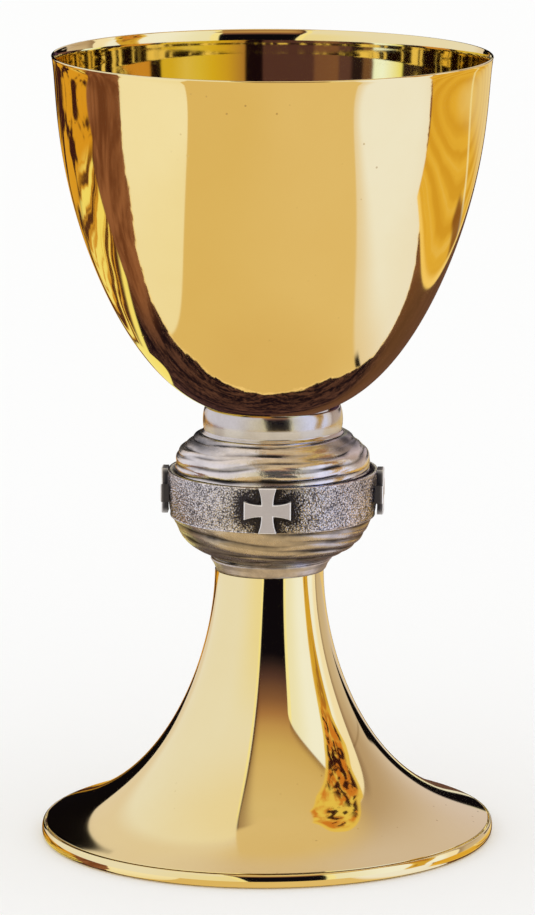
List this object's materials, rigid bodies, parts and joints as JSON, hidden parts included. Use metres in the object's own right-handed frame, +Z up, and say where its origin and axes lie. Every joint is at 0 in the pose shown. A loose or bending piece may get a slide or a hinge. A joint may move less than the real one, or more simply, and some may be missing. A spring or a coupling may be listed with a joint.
{
  "type": "communion chalice",
  "caption": "Gilt communion chalice: bell-shaped cup on a cast silver knop with crosses and a trumpet foot, screwed together on a rod.",
  "frame": {"origin": "centre of the foot's rest plane, on the axis of the turned pieces", "axes": "+Z up along the axis, from the foot to the lip; the front cross faces -Y, turned 2.8 degrees towards -X"},
  "size_m": [0.107, 0.107, 0.186],
  "materials": {
    "gilt": "mirror-polished gilding, warm yellow, with faint wear",
    "silver_polished": "polished silver, fine hairlines",
    "silver_cast": "satin cast silver, oxidised dark in the hollows, bright on the ridges",
    "silver_grained": "grained silver band, oxidised round the crosses, bright at its edges",
    "silver_cross": "brushed silver with bright chamfered edges",
    "brass_fitting": "machined brass",
    "steel_rod": "plain steel, dull",
    "zinc": "zinc-plated steel, slightly yellowed",
    "fibre": "red vulcanised fibre"
  },
  "bodies": {
    "stem_assembly": {"foot": "gilt", "foot_rim_ring": "gilt", "stem_bush": "brass_fitting", "tie_rod": "steel_rod", "knop_core_tube": "brass_fitting", "lower_collar": "silver_polished", "knop_lower_shell": "silver_cast", "knop_band": "silver_grained", "cross_front": "silver_cross", "cross_right": "silver_cross", "cross_back": "silver_cross", "cross_left": "silver_cross", "knop_upper_shell": "silver_cast", "upper_collar": "silver_polished"},
    "cup_carrier": {"seat_washer": "fibre"},
    "cup_assembly": {"cup": "gilt", "cup_boss": "brass_fitting"},
    "nut_carrier": {"clamp_washer": "zinc", "spring_washer": "steel_rod"},
    "nut": {"clamp_nut": "zinc"}
  },
  "joints": [
    {"name": "cup_rise", "type": "slide", "parent": "stem_assembly", "child": "cup_carrier", "axis": [0, 0, 1], "range_m": [0, 0.0064]},
    {"name": "cup_turn", "type": "hinge", "parent": "cup_carrier", "child": "cup_assembly", "pos_m": [0, 0, 0.0905], "axis": [0, 0, 1], "range_deg": [0, 1800]},
    {"name": "nut_drop", "type": "slide", "parent": "stem_assembly", "child": "nut_carrier", "axis": [0, 0, -1], "range_m": [0, 0.0089]},
    {"name": "nut_turn", "type": "hinge", "parent": "nut_carrier", "child": "nut", "pos_m": [0, 0, 0.0515], "axis": [0, 0, -1], "range_deg": [0, 2520]}
  ],
  "couplings": [
    {"joint": "cup_rise", "follows": "cup_turn", "m_per_rad": 0.00019894},
    {"joint": "nut_drop", "follows": "nut_turn", "m_per_rad": 0.00019894}
  ]
}
